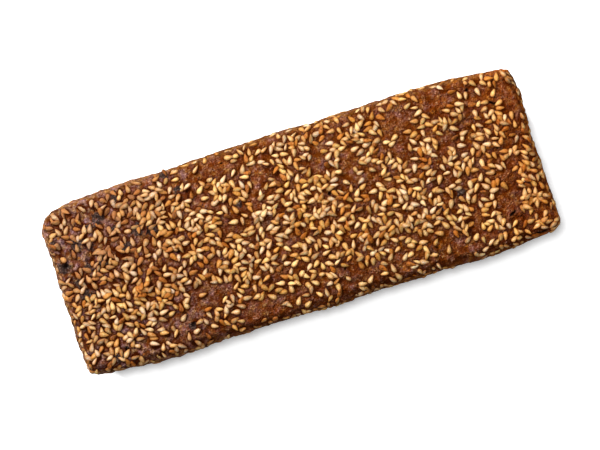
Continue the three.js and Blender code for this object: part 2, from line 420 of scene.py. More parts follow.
def fine_relief(point, on_top, blister):
    skin = WALL_SKIN + (1 - WALL_SKIN) * on_top
    burnt = progress(point.x, *BURNT_END) * on_top
    knobs = KNOB.height * noise.noise(at_scale(point, KNOB.size)) * (skin + blister + BURNT_KNOBS * burnt)
    grit = GRIT.height * noise.noise(at_scale(point, GRIT.size, 9)) * skin
    creased = clamp(WRINKLED_EDGE + in_patch(point, *WRINKLED)) * on_top
    ridge = WRINKLE_CREST - abs(noise.noise(at_scale(SLANT @ point, WRINKLE.size, 5)))
    wrinkles = WRINKLE.height * ridge * (LEAST_WRINKLED + (1 - LEAST_WRINKLED) * creased) * skin
    return knobs + grit + wrinkles


def lump_height(point):
    return LUMP.height * noise.fractal(at_scale(point, LUMP.size), *LUMP_OCTAVES)


print("fine relief in the middle, mm:", round(fine_relief(middle_of_top, 1, 0), 2))

# %% [markdown]
# Burnt blisters are round caps with ragged feet. A rule could strew them anywhere, but there are few of
# them and each one shows, so they are listed one by one like the pits. Noise pushes their outlines about.

# %% Blisters
BLISTER_HEIGHT = 0.5
BLISTER_FOOT = 1.3  # a blister starts to rise this far out, as a share of its reach
BLISTER_CROWN = 0.7  # and is flat from here inwards
NOISE_SEED = 7  # left alone, noise_vector starts from the clock and differs from run to run
BLISTERS = [  # middle and reach of each, most of them towards the end at -X
    (-84, 28, 2.3), (-104.5, 12, 2.6), (-96, 20, 2.8), (-99, -2.5, 2.1), (-76, 12, 2.3), (-69, 18, 2.6),
    (-74, 34, 1.8), (-51, 37, 1.6), (-58.5, -29.5, 1.6), (-23.5, 15, 1.6), (-94, -33, 1.8),
    (-88, 25.5, 1.6), (-101, 3.5, 2), (-63, 16, 2.3), (-88, 9, 2), (-106, 23, 1.6), (-91, 17, 1.7),
    (-79, 21, 1.5), (-94, 9, 1.6), (-47, 29, 1.5), (71, -9, 1.5), (61, -14, 1.3),
]


noise.seed_set(NOISE_SEED)


def warped(point, size, by):
    """The point pushed about by noise, so that outlines lose their plain shapes."""
    return point + noise.noise_vector(at_scale(point, size, 3)) * by


def blister_share(point):
    spot = warped(point, size=1.3, by=2.2)
    nearest = min(math.hypot(spot.x - x, spot.y - y) / reach for x, y, reach in BLISTERS)
    return progress(nearest, BLISTER_FOOT, BLISTER_CROWN)


print("blisters:", len(BLISTERS))

# %% [markdown]
# Cracks and pores are many and small, so a rule strews them. Voronoi noise splits space into cells with one
# middle each. A pore is a bowl round the middle of a cell, in some of the cells only, and the lines where
# two cells meet make good cracks, kept to the few patches where the skin tore.

# %% Cracks and pores
CRACK = Relief(0.55, 6.5)
CRACK_WIDTH = 0.075  # as a share of a cell
TORN = [
    (80, 18, 10, 10), (98, 22, 9, 8), (88, -27, 9, 7), (-97, 4, 10, 14), (-60, 12, 12, 9), (50, -33, 16, 5),
]
TORN_EDGE = 1.4
PORE = Relief(0.5, 3.6)
PORE_COMMON = 0.46  # the share of the cells that have one
WALL_PORE = Relief(0.6, 5.2)
WALL_PORE_COMMON = 0.42
LEAST_PORE = 0.09  # radius of the smallest, as a share of a cell
PORE_SPREAD = 0.2
DRAW_SCALE = 6.1  # far enough apart for cells beside each other to draw differently


def crack_share(point):
    torn = max(in_patch(point, *patch) for patch in TORN)
    if torn <= 0:
        return 0
    distances, _ = noise.voronoi(at_scale(warped(point, size=4, by=2.4), CRACK.size, 17))
    return progress(distances[1] - distances[0], CRACK_WIDTH, 0) * clamp(TORN_EDGE * torn)


def pore_share(point, size, offset, common):
    distances, middles = noise.voronoi(at_scale(point, size, offset))
    draw = noise.noise(middles[0] * DRAW_SCALE) * 0.5 + 0.5
    strength = progress(draw, common, 0)
    if strength == 0:
        return 0
    return clamp(1 - (distances[0] / (LEAST_PORE + PORE_SPREAD * strength)) ** 2)


print("torn patches:", len(TORN))

# %% [markdown]
# All of these heights are added up here. The same sums tell where the skin lies low, where it blistered and
# where it is hollow. The material will want to know that and could work it out again from its own noise,
# but it would never quite match the shape, so each corner of the mesh keeps it as a number.

# %% Height of the skin
SKIN_FADES = (9, 16)  # down the walls, the top's skin fades out from the first drop to the second
FINE_REACH = 0.25  # the fine relief rises and falls about this much
CRACK_SHADE = 0.5  # how hollow a crack counts


def crust_relief(block, point):
    """Height of the skin there, and the marks that the mesh keeps about it."""
    on_top = 1 - progress(HEIGHT - block.z, *SKIN_FADES)
    blister = blister_share(point) * on_top
    fine = fine_relief(point, on_top, blister)
    crack = crack_share(point) * on_top
    pit = pit_share(point)
    pore = pore_share(point, PORE.size, 23, PORE_COMMON) * on_top
    wall_pore = pore_share(point, WALL_PORE.size, 31, WALL_PORE_COMMON) * (1 - on_top)
    height = fine + lump_height(point)
    height += BLISTER_HEIGHT * math.sqrt(blister) - CRACK.height * crack - PIT_DEPTH * pit
    height -= PORE.height * math.sqrt(pore) + WALL_PORE.height * math.sqrt(wall_pore)
    marks = {
        "cavity": progress(fine, FINE_REACH, -FINE_REACH),
        "blister": blister,
        "hollow": clamp(pit + CRACK_SHADE * crack + pore + wall_pore),
    }
    return height, marks


relief_there, _ = crust_relief(Vector((0, 0, HEIGHT)), middle_of_top)
print("skin in the middle of the top, mm:", round(relief_there, 2))

# %% [markdown]
# Painted light and shade follow the way the crust faces. The round edges get painted light, less so above
# the -Y wall, which faces away from the light, and the shoulder above that wall gets painted shade. We could
# paint these shares by hand, but the way out of the crust is known at every corner, so a rule finds the
# edges without a slip.

# %% Walls, and painted edge light and shade
WALL_STARTS = (5, 14)  # drop below the top from which a spot counts as wall, and where it is wall alone
SHADED_SIDE_TURN = 1.5  # how soon the side away from the light starts as the crust turns towards -Y
EDGE_LIGHT_TURN = (0.82, 0.42)  # the painted edge light starts and is whole where the way out rises this much
SHADED_SIDE_EDGE_LIGHT_TURN = (0.56, 0.26)  # and the same on the side away from the light
SHADED_SIDE_MOST_EDGE_LIGHT = 0.75
MINUS_Y_SHADE_SIDE = (-0.05, -0.35)  # the painted shade starts where the way out turns this far along Y
MINUS_Y_SHADE_TURN = (0.42, 0.72)  # and rises this much


def wall_and_painted_edge_shading(block, outward):
    wall = progress(HEIGHT - block.z, *WALL_STARTS)
    shaded_side = clamp(-SHADED_SIDE_TURN * outward.y)
    # painted light on the round edges, weaker on the side away from the light
    rim = progress(outward.z, *EDGE_LIGHT_TURN) * (1 - shaded_side)
    rim += min(SHADED_SIDE_MOST_EDGE_LIGHT, progress(outward.z, *SHADED_SIDE_EDGE_LIGHT_TURN)) * shaded_side
    # painted shade on the shoulder above the -Y wall
    minus_y_shade = progress(outward.y, *MINUS_Y_SHADE_SIDE) * progress(outward.z, *MINUS_Y_SHADE_TURN)
    return {"wall": wall, "rim": rim * (1 - wall), "minus_y_shade": minus_y_shade}


shoulder_foot = Vector((0, HALF_WIDTH, SHOULDER_HEIGHT))
_, outward_there = onto_crust(shoulder_foot)
wall_and_edge_marks = wall_and_painted_edge_shading(shoulder_foot, outward_there)
print("wear at the foot of the shoulder:", {name: round(share, 2) for name, share in wall_and_edge_marks.items()})

# %% Carry the block on to the crust
LAYERS = ("cavity", "blister", "hollow", "wall", "rim", "minus_y_shade")
layers = {name: crust_mesh.verts.layers.float.new(name) for name in LAYERS}
heights = []
for vertex in crust_mesh.verts:
    shares = (vertex.co + Vector((1, 1, 1))) / 2
    block = Vector(side_place(share, *side) for share, side in zip(shares, SIDES))
    block -= Vector((HALF_LENGTH, HALF_WIDTH, 0))
    point, outward = onto_crust(block)
    height, marks = crust_relief(block, point)
    height *= clamp(point.z / BASE_ROUND)
    heights.append(height)
    vertex.co = point + outward * height
    for name, share in (marks | wall_and_painted_edge_shading(block, outward)).items():
        vertex[layers[name]] = share
for face in crust_mesh.faces:
    face.smooth = True
crust_mesh.normal_update()
print("relief, mm:", round(min(heights), 2), "to", round(max(heights), 2))

# %% [markdown]
# ## Where the seeds fall
# A baker brushes the loaf and throws sesame over it. Brushed spots hold many seeds, dry ones few, and the
# seeds thin out down the walls. We throw darts at the block, folded out flat, and keep a dart by chance and
# only if it lands clear of the others. The first throw is the one that the solid was built with, and its
# seeds lie far apart. Two closer throws fill in between them, keep more strictly to the brushed spots, and
# leave fewer seeds where hands and racks rub the round edges. The draws come from a chain of our own, so
# that every run and the solid itself get the same ones.

# %% Chains of draws
CHAIN_FACTOR = 48271
CHAIN_MODULUS = 2147483647


def make_chain(first_state):
    state = first_state

    def draw(lowest=0, highest=1):
        nonlocal state
        state = state * CHAIN_FACTOR % CHAIN_MODULUS
        return lowest + (highest - lowest) * state / CHAIN_MODULUS

    return draw


fall = make_chain(20261)  # where seeds lie and how they are turned
look = make_chain(7043)  # their colours and how deep they sank
print("states of a chain run from 1 to", CHAIN_MODULUS - 1)

# %% Chance of sticking
WALL_REACH = 36
EVEN_CHANCE = 0.6
WALL_CHANCE = 0.45
LEAST_CHANCE = 0.04
PATCH_EDGE = 2
BARE = [  # middle, and reach along and across the loaf
    (-47, -19, 11, 6), (-27, 33, 8, 6), (27, 15, 5, 8), (54, 29, 8, 8), (72, 32, 10, 6),
    (103, 26, 5, 9), (91, -22, 6, 10), (15, -31, 8, 6), (62, -33, 10, 8), (-28, -33, 8, 6),
]
THIN = [
    (0, -36, 112, 9), (-43, 32, 9, 7), (-84, 28, 10, 9), (-99, 13, 11, 6), (-69, 17, 6, 6),
    (-18, 14, 6, 5), (-10, 24, 9, 5), (36, 6, 6, 10), (46, 2, 5, 6), (76, 13, 10, 7),
    (103, 13, 5, 8), (79, -4, 8, 5), (92, -8, 6, 9), (-13, -14, 6, 7), (2, -21, 9, 6),
    (35, -29, 7, 7), (-61, -25, 12, 8), (54, 17, 5, 5), (54, -25, 10, 6), (-22, -24, 6, 5),
    (-79, -26, 6, 7), (-35, -28, 6, 5), (-16, -5, 5, 5), (-28, 9, 6, 5), (86, 30, 6, 5),
    (67, 2, 4, 6), (68, 19, 5, 4), (14, 22, 8, 4), (-37, 18, 5, 4), (73, -23, 5, 4),
]
RICH = [
    (-85, -12, 13, 9), (-104, -15, 8, 20), (-72, -9, 17, 9), (-54, 17, 7, 14), (-85, 4, 8, 6),
    (-106, 30, 6, 11), (-26, -10, 10, 10), (16, 3, 13, 8), (14, 37, 12, 6), (45, 38, 8, 5),
    (50, -14, 13, 9), (60, 8, 4, 8), (95, 14, 7, 7), (102, -15, 6, 14), (-92, -21, 6, 5),
    (-64, 24, 7, 9), (0, 2, 5, 5), (51, -3, 7, 6), (-1, 31, 4, 5), (-61, 6, 6, 5), (25, -4, 6, 5),
    (34, 30, 6, 6), (-42, -10, 7, 6), (-74, 26, 5, 5), (-39, 9, 5, 5), (15, -20, 7, 4),
    (58, -12, 6, 6),
]
PATCHES = [(-0.6, BARE), (-0.3, THIN), (0.4, RICH)]  # what each kind adds to the chance


def in_patches(chance, spot, kinds):
    for gain, patches in kinds:
        for patch in patches:
            chance += gain * clamp(PATCH_EDGE * in_patch(spot, *patch))
    return chance


def sticking_chance(spot):
    chance = in_patches(EVEN_CHANCE, spot, PATCHES)
    drop = HEIGHT - spot.z
    if drop > 0:
        chance = min(chance, WALL_CHANCE * (1 - drop / WALL_REACH) ** 2)
    return max(LEAST_CHANCE, chance)


def draw_spot():
    x = fall(-1, 1) * (HALF_LENGTH + WALL_REACH)
    y = fall(-1, 1) * (HALF_WIDTH + WALL_REACH)
    drop = max(0, abs(x) - HALF_LENGTH, abs(y) - HALF_WIDTH)
    return Vector((clamp(x, -HALF_LENGTH, HALF_LENGTH), clamp(y, -HALF_WIDTH, HALF_WIDTH), HEIGHT - drop))


print("chance in the middle of the top:", round(sticking_chance(Vector((0, 0, HEIGHT))), 2))

# %% Throw the seeds
THROWS = [  # seeds on the loaf after it, least distance, how strictly chance is kept to, how much they lean
    (190, 7.6, 1, 1),
    (800, 2.9, 1.4, 1.3),
    (1830, 1.75, 1.5, 1.8),
]
ROUND_EDGE = 0.97  # where the way out of the crust rises less than this
RIM_CHANCE = 0.9  # of the later throws, fewer seeds stay on the round edges
RUBBED_OFF = 0.45  # and fewer still where the edge was rubbed, most of all towards +Y and -X
LATER_PATCHES = [(-0.2, [(-98, 24, 15, 20)]), (-0.1, [(-40, 36, 60, 6)]), (0.1, [(20, -31, 75, 9)])]

SEED_SIZE_SPREAD = 0.26
SEED_ROLL = 0.5  # most that a seed of the first throw leans on its own, in radians
SEED_PITCH = 0.2


def later_chance(spot, outward):
    chance = in_patches(sticking_chance(spot), spot, LATER_PATCHES)
    if outward.z < ROUND_EDGE:
        chance *= RIM_CHANCE - RUBBED_OFF * clamp(0.5 + outward.y - outward.x)
    return max(0, chance)


def throw_seeds():
    places = [point for point, _, _ in PLACED_PITS]
    seeds = []
    for count, spacing, strictness, leaning in THROWS:
        while len(seeds) < count:
            spot = draw_spot()
            point, outward = onto_crust(spot)
            chance = later_chance(spot, outward) if spacing < THROWS[0][1] else sticking_chance(spot)
            if fall() >= chance ** strictness:
                continue
            if min((place - point).length for place in places) > spacing:
                places.append(point)
                heading = fall(0, TURN)
                scale = 1 - SEED_SIZE_SPREAD * fall()
                roll = fall(-SEED_ROLL, SEED_ROLL) * leaning
                pitch = fall(-SEED_PITCH, SEED_PITCH) * leaning
                seeds.append((point, outward, scale, Vector((roll, pitch, heading))))
    return seeds


thrown = throw_seeds()
on_edges = sum(1 for _, outward, _, _ in thrown if outward.z < ROUND_EDGE)
print("seeds:", len(thrown), "of which on round edges and walls:", on_edges)

# %% [markdown]
# ## One sesame seed
# A sesame seed is a flat teardrop with a blunt end and a drawn-out tip. A small UV sphere stretched along
# one axis gets there with few faces, which matters, because this shape is about to be repeated over a
# thousand times. Each corner also remembers how near the tip and how near the rim it lies, for the colour
# to use later.

# %% Model one seed
SEED_LENGTH = 4.8  # of the largest
SEED_WIDTH = 2.6
SEED_THICKNESS = 1.35
SEED_TAPER = 0.34  # it is this much wider at its blunt end, and narrower at its tip
TIP_DRAW = 0.3  # how far the tip is drawn out to a point
SEED_SIDES = 8
SEED_BANDS = 6
ORDER_STEP = 1000


def in_order(place):
    """A number that grows along Z, then Y, then X. Sorted by it, the parts are in one order on every run."""
    return (round(place.z, 3) * ORDER_STEP + round(place.y, 3)) * ORDER_STEP + round(place.x, 3)


seeds_mesh = bmesh.new()
bmesh.ops.create_uvsphere(seeds_mesh, u_segments=SEED_SIDES, v_segments=SEED_BANDS, radius=1)
seeds_mesh.verts.sort(key=lambda vertex: in_order(vertex.co))
seeds_mesh.faces.sort(key=lambda face: in_order(face.calc_center_median()))
seed_layers = {name: seeds_mesh.verts.layers.float.new(name)
               for name in ("along", "back", "tone", "cast", "washed")}
for vertex in seeds_mesh.verts:
    across, upward, tip = vertex.co.x, -vertex.co.y, vertex.co.z
    girth = 1 - SEED_TAPER * tip
    along = (tip + TIP_DRAW * (max(0, tip) ** 3 - 0.5)) / (1 + TIP_DRAW / 2)
    vertex[seed_layers["along"]] = along
    vertex[seed_layers["back"]] = abs(upward)
    vertex.co.x = along * SEED_LENGTH / 2
    vertex.co.y = across * girth * SEED_WIDTH / 2
    vertex.co.z = upward * girth * SEED_THICKNESS / 2
for face in seeds_mesh.faces:
    face.smooth = True
bmesh.ops.recalc_face_normals(seeds_mesh, faces=seeds_mesh.faces[:])
print("one seed:", len(seeds_mesh.faces), "faces")

# %% [markdown]
# ## Letting the seeds settle
# Seeds that fall on bare crust sink into its wash a little, some more than others. Seeds that fall on other
# seeds ride up on them and tilt. A physics run could settle them, but it would be slow and would shuffle
# them about. Instead we feel for the ground under each new seed at its middle, ends and sides, and lean the
# seed on what we find: the crust, or the back of a seed that lies there already. If it would ride on
# others, we first turn it about a few times, as a seed slides into a gap when it can.

# %% Feel for the ground
SEED_LIFT = 0.16  # a seed's middle stands this much above bare crust
MOST_SUNK = 0.3
WALL_SUNK = 0.42  # seeds on the walls and round the shoulder were pressed in by the tin
SHOULDER_TURN = (0.9, 0.5)  # more and more of them as the way out rises less
BURNT_SUNK = 0.3  # and those in the burnt corner were brushed into the wash
EDGE_LIFT = 0.7  # a seed that stands on edge stands higher, by this share of its half-width
FEEL_SHARE = 0.8  # ends and sides are felt for this far out from the middle
RAY_START = 4
TURNS_TRIED = 6
SLIGHT = 0.2  # a seed felt to lie no more than this above the crust lies on it
RIDING = 0.3  # and one felt to lie this much higher still rides on others
RIDE_LIFT = 0.62  # such a seed stands this share of its half-thickness above them
RIDE_STEADIES = 0.5  # and loses this share of its own lean
LEAST_LOOSE = 0.3  # a seed on a wall keeps this share of its own lean
MOST_PILED = 1.3  # a seed that would lie higher than this rolls off
MOST_ROLL = math.radians(60)
MOST_PITCH = math.radians(30)

crust_tree = BVHTree.FromBMesh(crust_mesh)


class LyingSeed:
    def __init__(self, middle, lie, scale):
        self.middle = middle
        self.lie = lie
        self.scale = scale
        self.along = lie.col[0] / (scale * SEED_LENGTH / 2)
        self.across = lie.col[1] / (scale * SEED_WIDTH / 2)

    def back_above(self, spot, outward):
        """How high above a spot the back of this seed is, or None if it doesn't lie there."""
        offset = spot - self.middle
        inside = 1 - offset.dot(self.along) ** 2 - offset.dot(self.across) ** 2
        if inside <= 0:
            return None
        return self.scale * SEED_THICKNESS / 2 * math.sqrt(inside) - offset.dot(outward)


def crust_above(spot, outward):
    hit, _, _, _ = crust_tree.ray_cast(spot + outward * RAY_START, -outward)
    return (hit - spot).dot(outward) if hit else 0


def ground_above(spot, outward, near):
    bare = crust_above(spot, outward)
    backs = [seed.back_above(spot, outward) for seed in near]
    return max([bare] + [back for back in backs if back is not None])


print("skin felt in the middle of the top, mm:", round(crust_above(middle_of_top, Vector((0, 0, 1))), 2))

# %% Lay the seeds
BURNT_ALONG = (-50, -80)  # the burnt corner starts and is whole here
BURNT_ACROSS = (-6, 6)


def feel(point, outward, scale, heading, near):
    """The ground under a seed of that heading, and how it slopes across and along the seed."""
    flat = upright(outward) @ Matrix.Rotation(heading, 3, "Z")
    tip_reach = flat.col[0] * scale * SEED_LENGTH / 2 * FEEL_SHARE
    side_reach = flat.col[1] * scale * SEED_WIDTH / 2 * FEEL_SHARE
    tip, blunt = (ground_above(point + way * tip_reach, outward, near) for way in (1, -1))
    left, right = (ground_above(point + way * side_reach, outward, near) for way in (1, -1))
    ground = max(ground_above(point, outward, near), (tip + blunt) / 2, (left + right) / 2)
    roll = math.atan2(left - right, 2 * side_reach.length)
    pitch = math.atan2(blunt - tip, 2 * tip_reach.length)
    return ground, roll, pitch


def burnt_share(point):
    """How far a spot lies in the corner that was brushed and burnt most, at -X and +Y."""
    return progress(point.x, *BURNT_ALONG) * progress(point.y, *BURNT_ACROSS)


def lay_seed(point, outward, scale, lean, near):
    bare = crust_above(point, outward)
    heading = lean.z
    ground, roll, pitch = feel(point, outward, scale, heading, near)
    for other in range(1, TURNS_TRIED):
        if ground - bare < SLIGHT:
            break
        turned = lean.z + other * TURN / 2 / TURNS_TRIED
        felt = feel(point, outward, scale, turned, near)
        if felt[0] < ground:
            ground, roll, pitch = felt
            heading = turned
    piled = ground - bare
    if piled > MOST_PILED:
        return None
    riding = clamp((piled - SLIGHT) / RIDING)
    loose = (1 - RIDE_STEADIES * riding) * clamp(outward.z + LEAST_LOOSE, LEAST_LOOSE)
    roll = clamp(roll + loose * lean.x, -MOST_ROLL, MOST_ROLL)
    pitch = clamp(pitch + loose * lean.y, -MOST_PITCH, MOST_PITCH)
    sunk = MOST_SUNK * look() ** 2 + WALL_SUNK * progress(outward.z, *SHOULDER_TURN)
    sunk += BURNT_SUNK * burnt_share(point) * look()
    lift = (SEED_LIFT - sunk) * (1 - riding) + RIDE_LIFT * scale * SEED_THICKNESS / 2 * riding
    lift += EDGE_LIFT * scale * SEED_WIDTH / 2 * max(0, abs(math.sin(roll)) - math.sin(SEED_ROLL))
    lie = upright(outward) @ Euler((roll, pitch, heading), "XYZ").to_matrix()
    return LyingSeed(point + outward * (ground + lift), lie, scale)


def lay_seeds(thrown):
    lying = []
    for point, outward, scale, lean in thrown:
        near = [seed for seed in lying if (seed.middle - point).length < SEED_LENGTH]
        seed = lay_seed(point, outward, scale, lean, near)
        if seed:
            lying.append(seed)
    return lying


lying = lay_seeds(thrown)
print("seeds that stayed:", len(lying))

# %% [markdown]
# A painted shadow draws a thin dark line on the crust round each seed. Shading by nearness to another mesh
# would be slow. The crust's corners are close enough together to hold that line, so we look up the seeds near
# each of them in a k-d tree and note how near the closest outline is.

# %% Painted shadow round the seeds
SEED_SHADOW_REACH = 0.68  # as a share of the seed's own half-size, beyond its outline
SEED_SHADOW_NEAR = SEED_LENGTH * 0.6  # seeds further off than this aren't looked at

# each crust corner keeps how deep it lies in the painted shadow of a seed
pool_layer = crust_mesh.verts.layers.float.new("pool")
seed_tree = KDTree(len(lying))
for number, seed in enumerate(lying):
    seed_tree.insert(seed.middle, number)
seed_tree.balance()
for vertex in crust_mesh.verts:
    for _, number, _ in seed_tree.find_range(vertex.co, SEED_SHADOW_NEAR):
        offset = vertex.co - lying[number].middle
        reach = math.hypot(offset.dot(lying[number].along), offset.dot(lying[number].across))
        pooled = clamp((1 + SEED_SHADOW_REACH - reach) / SEED_SHADOW_REACH)
        vertex[pool_layer] = max(vertex[pool_layer], pooled)
print("crust corners in a pool:", sum(1 for vertex in crust_mesh.verts if vertex[pool_layer] > 0))

# %% [markdown]
# Copying the seed one at a time would walk through a longer and longer mesh. Copying everything there is,
# over and over, doubles the seeds at each step, so eleven steps are enough. A number kept on each corner
# tells the copies apart, and lets us move every corner to where its own seed lies.

# %% Repeat the seed
number_layer = seeds_mesh.verts.layers.int.new("number")
copies = 1
while copies < len(lying):
    more = min(copies, len(lying) - copies)
    chosen = [face for face in seeds_mesh.faces if face.verts[0][number_layer] < more]
    made = bmesh.ops.duplicate(seeds_mesh, geom=chosen)
    for part in made["geom"]:
        if isinstance(part, bmesh.types.BMVert):
            part[number_layer] += copies
    copies += more
print("seeds in the mesh:", copies)

# %% [markdown]
# Each seed now goes where it was laid, and is given one tone, one cast and one share of wash. A material of
# its own for every seed would do it too, but then there would be over a thousand of them. Numbers kept on
# the corners let one material serve them all.

# %% Place and tone them
TOASTED_SHARE = 0.13
LOW_TOASTED = 0.25  # so many more of them low on the walls
LOW_HEIGHTS = (54, 34)  # low starts and is whole here
BURNT_TOASTED = 0.22  # and in the burnt corner
TOASTED_TONE = 0.32  # the palest of them
PLAIN_TONE = 0.34  # the darkest of the others
PLAIN_SPREAD = 0.33
WASHES = (0.2, 1)  # share of wash on a seed in the burnt corner, at least and at most


def seed_tone(middle):
    low_down = progress(middle.z, *LOW_HEIGHTS)
    toasted = look() < TOASTED_SHARE + LOW_TOASTED * low_down + BURNT_TOASTED * burnt_share(middle)
    return look(0, TOASTED_TONE) if toasted else PLAIN_TONE + PLAIN_SPREAD * (look() + look())


places = [Matrix.Translation(seed.middle) @ seed.lie.to_4x4() @ Matrix.Scale(seed.scale, 4)
          for seed in lying]
marks = {
    "tone": [seed_tone(seed.middle) for seed in lying],
    "cast": [look() for seed in lying],
    "washed": [burnt_share(seed.middle) * look(*WASHES) for seed in lying],
}
for vertex in seeds_mesh.verts:
    number = vertex[number_layer]
    vertex.co = places[number] @ vertex.co
    for name, values in marks.items():
        vertex[seed_layers[name]] = values[number]
print("toasted seeds:", sum(1 for tone in marks["tone"] if tone < TOASTED_TONE))

# %% [markdown]
# So far everything is in millimetres, because metres would have filled the lesson with noughts. Now both
# meshes are scaled to metres and become objects.

# %% Link the meshes
for bm in (crust_mesh, seeds_mesh):
    bmesh.ops.scale(bm, vec=(MM, MM, MM), verts=bm.verts)
crust_piece = link_mesh(crust_mesh, "rye_crust")
seeds_piece = link_mesh(seeds_mesh, "sesame_seeds")
for piece in (crust_piece, seeds_piece):
    piece.data.calc_loop_triangles()
    print(piece.name, len(piece.data.loop_triangles), "triangles")

# %% [markdown]
# ## Words for wiring a material
# Both materials below are wired from the same few kinds of nodes. Wiring them by hand in the node editor
# would fill a screen, so we give those nodes short names first. Every size is in millimetres on the loaf
# itself, since the noise is read at Object coordinates, which don't move when the camera does.

# %% Recipe
class Recipe:
    def __init__(self, name):
        self.material, self.nodes, self.links = new_material(name)
        self.shader = self.nodes["Principled BSDF"]
        self.place = self.nodes.new("ShaderNodeTexCoord").outputs["Object"]

    def feed(self, value, socket):
        if isinstance(value, bpy.types.NodeSocket):
            self.links.new(value, socket)
        else:
            socket.default_value = value

    def give(self, name, value):
        self.feed(value, self.shader.inputs[name])

    def spread(self, value, low, high, to_low=0.0, to_high=1.0):
        """The value's range from low to high, spread over another range and kept inside it."""
        node = self.nodes.new("ShaderNodeMapRange")
        for name, given in zip(("Value", "From Min", "From Max", "To Min", "To Max"),
                               (value, low, high, to_low, to_high)):
            self.feed(given, node.inputs[name])
        return node.outputs["Result"]

    def noise(self, size, detail, low=0.35, high=0.65):
        """Noise with swells of that size, 0 below low and 1 above high, so a narrow range gives spots."""
        node = self.nodes.new("ShaderNodeTexNoise")
        self.feed(self.place, node.inputs["Vector"])
        self.feed(1 / (size * MM), node.inputs["Scale"])
        self.feed(detail, node.inputs["Detail"])
        return self.spread(node.outputs["Fac"], low, high)

    def stored(self, name, low=0.0, high=1.0):
        """A value that the mesh keeps for each of its corners."""
        node = self.nodes.new("ShaderNodeAttribute")
        node.attribute_name = name
        return self.spread(node.outputs["Fac"], low, high)

    def along(self, start, end, axis="X"):
        """How far a spot lies from one place in millimetres to another along an axis of the loaf."""
        node = self.nodes.new("ShaderNodeSeparateXYZ")
        self.feed(self.place, node.inputs["Vector"])
        return self.spread(node.outputs[axis], start * MM, end * MM)

    def reckon(self, operation, first, second):
        node = self.nodes.new("ShaderNodeMath")
        node.operation = operation
        self.feed(first, node.inputs[0])
        self.feed(second, node.inputs[1])
        return node.outputs["Value"]

    def times(self, first, *others):
        for other in others:
            first = self.reckon("MULTIPLY", first, other)
        return first

    def plus(self, first, second):
        return self.reckon("ADD", first, second)

    def mix(self, factor, first, second, kind="MIX"):
        node = self.nodes.new("ShaderNodeMix")
        node.data_type = "RGBA"
        node.blend_type = kind
        sockets = {socket.identifier: socket for socket in node.inputs}
        self.feed(factor, sockets["Factor_Float"])
        self.feed(first, sockets["A_Color"])
        self.feed(second, sockets["B_Color"])
        return next(socket for socket in node.outputs if socket.identifier == "Result_Color")

    def lay(self, shade, *shares):
        """Lays a shade over the colour so far, as strongly as the shares multiplied say."""
        self.colour = self.mix(self.times(*shares), self.colour, shade)

    def cast(self, value, low, high):
        """Multiplies the colour so far by a cast that runs from low to high with the value."""
        self.colour = self.mix(1.0, self.colour, self.mix(value, low, high), "MULTIPLY")

    def bump(self, height, depth):
        node = self.nodes.new("ShaderNodeBump")
        self.feed(depth * MM, node.inputs["Distance"])
        self.feed(height, node.inputs["Height"])
        self.give("Normal", node.outputs["Normal"])

    def tell(self, step):
        print(step + ":", len(self.nodes), "nodes so far")


print("words:", ", ".join(word for word in vars(Recipe) if not word.startswith("_")))

# %% [markdown]
# ## Colour of the crust
# A dark crust isn't one brown. Heat, wash and wear each left a colour of their own on it, one over the
# other, and we lay them in that order. A painted picture could hold them all, but it would blur close up
# and stretch round the corners, and noise does neither. Under everything lies the ground: dark brown with
# lighter patches, a fine mottle and some redder spots.

# %% Ground browns
DARK_BROWN = (0.080, 0.0125, 0.0006, 1)
MID_BROWN = (0.200, 0.0640, 0.0195, 1)
RED_BROWN = (0.190, 0.0420, 0.0065, 1)
PATCH_STRENGTH = 0.6
MOTTLE_STRENGTH = 0.5
RED_STRENGTH = 0.75

crust = Recipe("baked_crust")
patches = crust.times(crust.noise(8, 3, 0.38, 0.58), PATCH_STRENGTH)
mottle = crust.times(crust.noise(1.1, 3, 0.42, 0.58), MOTTLE_STRENGTH)
crust.colour = crust.mix(crust.plus(patches, mottle), DARK_BROWN, MID_BROWN)
crust.lay(RED_BROWN, crust.noise(3.2, 2, 0.5, 0.64), RED_STRENGTH)
crust.tell("ground browns")

# %% [markdown]
# The end at -X scorched to purple-brown, and so did stray patches along the loaf. Pale flecks lie over
# the crust, light brown, or pale purple where the crust is purple, and on the tops of the grit they are
# painted stronger, a painted highlight. The finest flecks are partly painted glints. Another noise could
# guess where those tops are, but the relief left the depth of the skin on the mesh as "cavity". Read from
# its deep end to its high end, it knows.

# %% Scorched end, pale flecks and painted highlights
PURPLE_BROWN = (0.290, 0.1560, 0.1280, 1)
CHARRED = (0.045, 0.0130, 0.0065, 1)
LIGHT_BROWN = (0.370, 0.190, 0.1000, 1)
PALE_PURPLE = (0.450, 0.270, 0.2050, 1)
STRAY_PURPLE = 0.35
PURPLE_STRENGTH = 0.85
CHARRED_STRENGTH = 0.6
FLECKS_LOW = 0.35  # strength of the flecks in the cavities; on the tops, where they are a painted highlight, it is 1
FINE_FLECKS = (0.3, 0.8)  # strength of the finest, partly painted glints, at +X and at the scorched end

dark_end = crust.along(-30, -95)
raised = crust.stored("cavity", 0.58, 0.12)
scorched = crust.times(dark_end, crust.noise(3.5, 4, 0.38, 0.58))
purple = crust.plus(scorched, crust.times(crust.noise(6.5, 3, 0.5, 0.64), STRAY_PURPLE))
pale_flecks_and_highlight = crust.mix(purple, LIGHT_BROWN, PALE_PURPLE)
crust.lay(PURPLE_BROWN, purple, PURPLE_STRENGTH)
# pale flecks, with a painted highlight on the tops of the grit
crust.lay(pale_flecks_and_highlight, crust.noise(0.93, 3, 0.5, 0.64), crust.spread(raised, 0, 1, FLECKS_LOW, 1))
